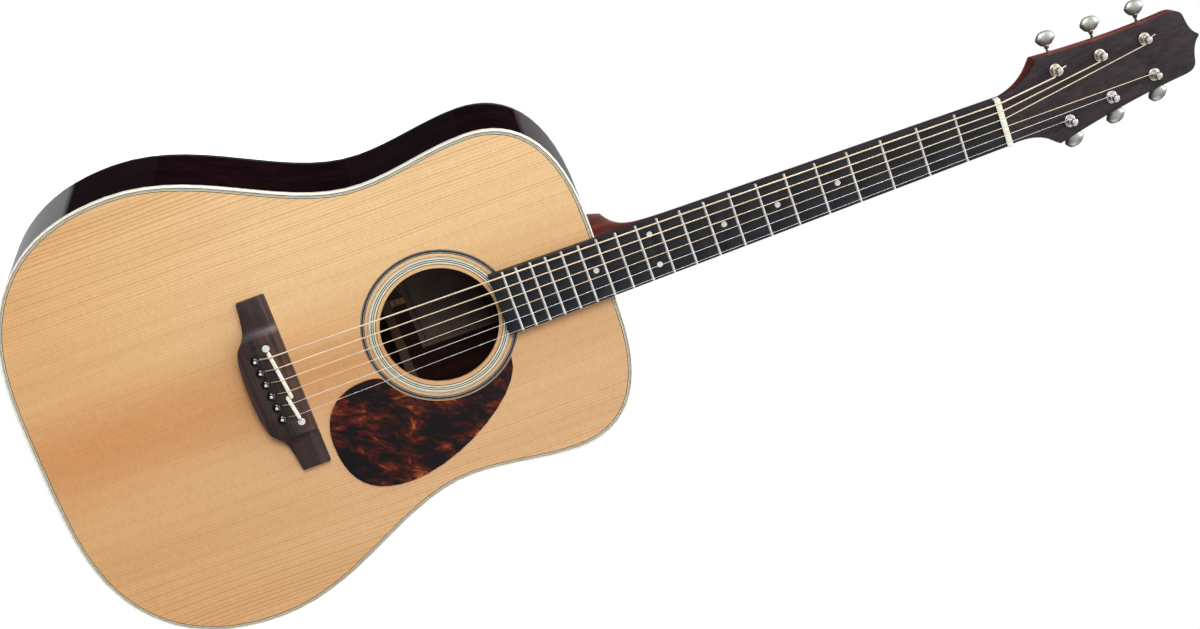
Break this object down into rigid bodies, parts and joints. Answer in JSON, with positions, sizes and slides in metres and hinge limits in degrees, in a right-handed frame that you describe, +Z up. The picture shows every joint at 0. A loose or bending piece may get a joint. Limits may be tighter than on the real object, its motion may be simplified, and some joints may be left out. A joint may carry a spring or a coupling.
{
  "type": "acoustic guitar",
  "caption": "Steel-string acoustic guitar with a deep square-shouldered hollow body, spruce top, dark back and sides, pickguard, pinned bridge and slanted headstock with open-geared tuners.",
  "frame": {"origin": "centre of the strap pin's knob, at the middle of the body's depth below its tail", "axes": "+Z up along the neck, -Y out of the soundboard towards the player's audience, +X towards the treble side"},
  "size_m": [0.406, 0.1347, 1.0756],
  "materials": {
    "spruce_top": "clear gloss over straight-grained spruce",
    "rosewood_back": "gloss lacquer over dark figured rosewood",
    "back_strip": "gloss lacquer over a light strip",
    "rosewood_sides": "gloss lacquer over dark rosewood",
    "white_binding": "gloss",
    "dark_binding": "gloss lacquer",
    "purfling": "fine black and white lines",
    "spruce_inner": "bare sanded wood",
    "mahogany_blocks": "bare sanded wood",
    "label_paper": "matt paper, blank",
    "rosette_inner": "concentric black and white lines",
    "rosette_outer": "dark ring edged with white lines",
    "tortoiseshell": "polished, dark brown with amber streaks",
    "bridge_rosewood": "oiled satin",
    "pearl": "polished shell",
    "bone": "polished bone",
    "black_plastic": "polished",
    "mahogany_neck": "satin lacquer",
    "fretboard_rosewood": "oiled satin",
    "fret_wire": "polished nickel silver",
    "truss_steel": "plain steel",
    "truss_brass": "machined brass",
    "headplate_rosewood": "satin lacquer over rosewood",
    "bronze_strings": "wound bronze wire",
    "steel_strings": "plain steel wire",
    "nickel": "polished nickel plate",
    "screw_steel": "nickel-plated steel",
    "nickel_keys": "satin nickel plate",
    "nickel_posts": "polished nickel plate"
  },
  "bodies": {
    "guitar": {"soundboard": "spruce_top", "back_bass": "rosewood_back", "back_treble": "rosewood_back", "back_strip": "back_strip", "side_bass": "rosewood_sides", "side_treble": "rosewood_sides", "tail_wedge": "white_binding", "binding_top": "white_binding", "binding_back": "dark_binding", "purfling_top": "purfling", "lining_top": "spruce_inner", "lining_back": "spruce_inner", "neck_block": "mahogany_blocks", "tail_block": "mahogany_blocks", "x_brace_bass": "spruce_inner", "x_brace_treble": "spruce_inner", "transverse_brace": "spruce_inner", "tone_bars": "spruce_inner", "finger_braces": "spruce_inner", "soundhole_braces": "spruce_inner", "bridge_plate": "mahogany_blocks", "back_braces": "spruce_inner", "centre_cleats": "spruce_inner", "label": "label_paper", "rosette_inner": "rosette_inner", "rosette_outer": "rosette_outer", "pickguard": "tortoiseshell", "bridge": "bridge_rosewood", "bridge_dots": "pearl", "saddle_bass": "bone", "saddle_treble": "bone", "bridge_pins": "black_plastic", "neck": "mahogany_neck", "heel_cap": "dark_binding", "fretboard": "fretboard_rosewood", "frets": "fret_wire", "fret_markers": "pearl", "nut": "bone", "truss_rod": "truss_steel", "headplate": "headplate_rosewood", "wound_strings": "bronze_strings", "plain_strings": "steel_strings", "tuner_plates": "nickel", "tuner_bushings": "nickel", "tuner_screws": "screw_steel", "strap_pin": "black_plastic"},
    "key_low_e": {"key_low_e": "nickel_keys"},
    "post_low_e": {"post_low_e": "nickel_posts"},
    "key_a": {"key_a": "nickel_keys"},
    "post_a": {"post_a": "nickel_posts"},
    "key_d": {"key_d": "nickel_keys"},
    "post_d": {"post_d": "nickel_posts"},
    "key_g": {"key_g": "nickel_keys"},
    "post_g": {"post_g": "nickel_posts"},
    "key_b": {"key_b": "nickel_keys"},
    "post_b": {"post_b": "nickel_posts"},
    "key_high_e": {"key_high_e": "nickel_keys"},
    "post_high_e": {"post_high_e": "nickel_posts"},
    "truss_nut": {"truss_nut": "truss_brass"}
  },
  "joints": [
    {"name": "key_low_e_turn", "type": "hinge", "parent": "guitar", "child": "key_low_e", "pos_m": [-0.02305, -0.0326, 0.93946], "axis": [-0.9956, 0.0212, 0.0917], "range_deg": [-1080, 360]},
    {"name": "post_low_e_turn", "type": "hinge", "parent": "guitar", "child": "post_low_e", "pos_m": [-0.0236, -0.05231, 0.93809], "axis": [0, -0.9744, 0.225], "range_deg": [-80, 30]},
    {"name": "key_a_turn", "type": "hinge", "parent": "guitar", "child": "key_a", "pos_m": [-0.01895, -0.02288, 0.98155], "axis": [-0.9956, 0.0212, 0.0917], "range_deg": [-1080, 360]},
    {"name": "post_a_turn", "type": "hinge", "parent": "guitar", "child": "post_a", "pos_m": [-0.0195, -0.04259, 0.98018], "axis": [0, -0.9744, 0.225], "range_deg": [-80, 30]},
    {"name": "key_d_turn", "type": "hinge", "parent": "guitar", "child": "key_d", "pos_m": [-0.01615, -0.01298, 1.02442], "axis": [-0.9956, 0.0212, 0.0917], "range_deg": [-1080, 360]},
    {"name": "post_d_turn", "type": "hinge", "parent": "guitar", "child": "post_d", "pos_m": [-0.0167, -0.0327, 1.02305], "axis": [0, -0.9744, 0.225], "range_deg": [-80, 30]},
    {"name": "key_g_turn", "type": "hinge", "parent": "guitar", "child": "key_g", "pos_m": [0.01615, -0.01298, 1.02442], "axis": [0.9956, 0.0212, 0.0917], "range_deg": [-1080, 360]},
    {"name": "post_g_turn", "type": "hinge", "parent": "guitar", "child": "post_g", "pos_m": [0.0167, -0.0327, 1.02305], "axis": [0, -0.9744, 0.225], "range_deg": [-80, 30]},
    {"name": "key_b_turn", "type": "hinge", "parent": "guitar", "child": "key_b", "pos_m": [0.01895, -0.02288, 0.98155], "axis": [0.9956, 0.0212, 0.0917], "range_deg": [-1080, 360]},
    {"name": "post_b_turn", "type": "hinge", "parent": "guitar", "child": "post_b", "pos_m": [0.0195, -0.04259, 0.98018], "axis": [0, -0.9744, 0.225], "range_deg": [-80, 30]},
    {"name": "key_high_e_turn", "type": "hinge", "parent": "guitar", "child": "key_high_e", "pos_m": [0.02305, -0.0326, 0.93946], "axis": [0.9956, 0.0212, 0.0917], "range_deg": [-1080, 360]},
    {"name": "post_high_e_turn", "type": "hinge", "parent": "guitar", "child": "post_high_e", "pos_m": [0.0236, -0.05231, 0.93809], "axis": [0, -0.9744, 0.225], "range_deg": [-80, 30]},
    {"name": "truss_nut_turn", "type": "hinge", "parent": "guitar", "child": "truss_nut", "pos_m": [0, -0.0525, 0.463], "axis": [0, 0, 1], "range_deg": [-180, 180]}
  ],
  "couplings": [
    {"joint": "post_low_e_turn", "follows": "key_low_e_turn", "ratio": 0.071429},
    {"joint": "post_a_turn", "follows": "key_a_turn", "ratio": 0.071429},
    {"joint": "post_d_turn", "follows": "key_d_turn", "ratio": 0.071429},
    {"joint": "post_g_turn", "follows": "key_g_turn", "ratio": 0.071429},
    {"joint": "post_b_turn", "follows": "key_b_turn", "ratio": 0.071429},
    {"joint": "post_high_e_turn", "follows": "key_high_e_turn", "ratio": 0.071429}
  ]
}
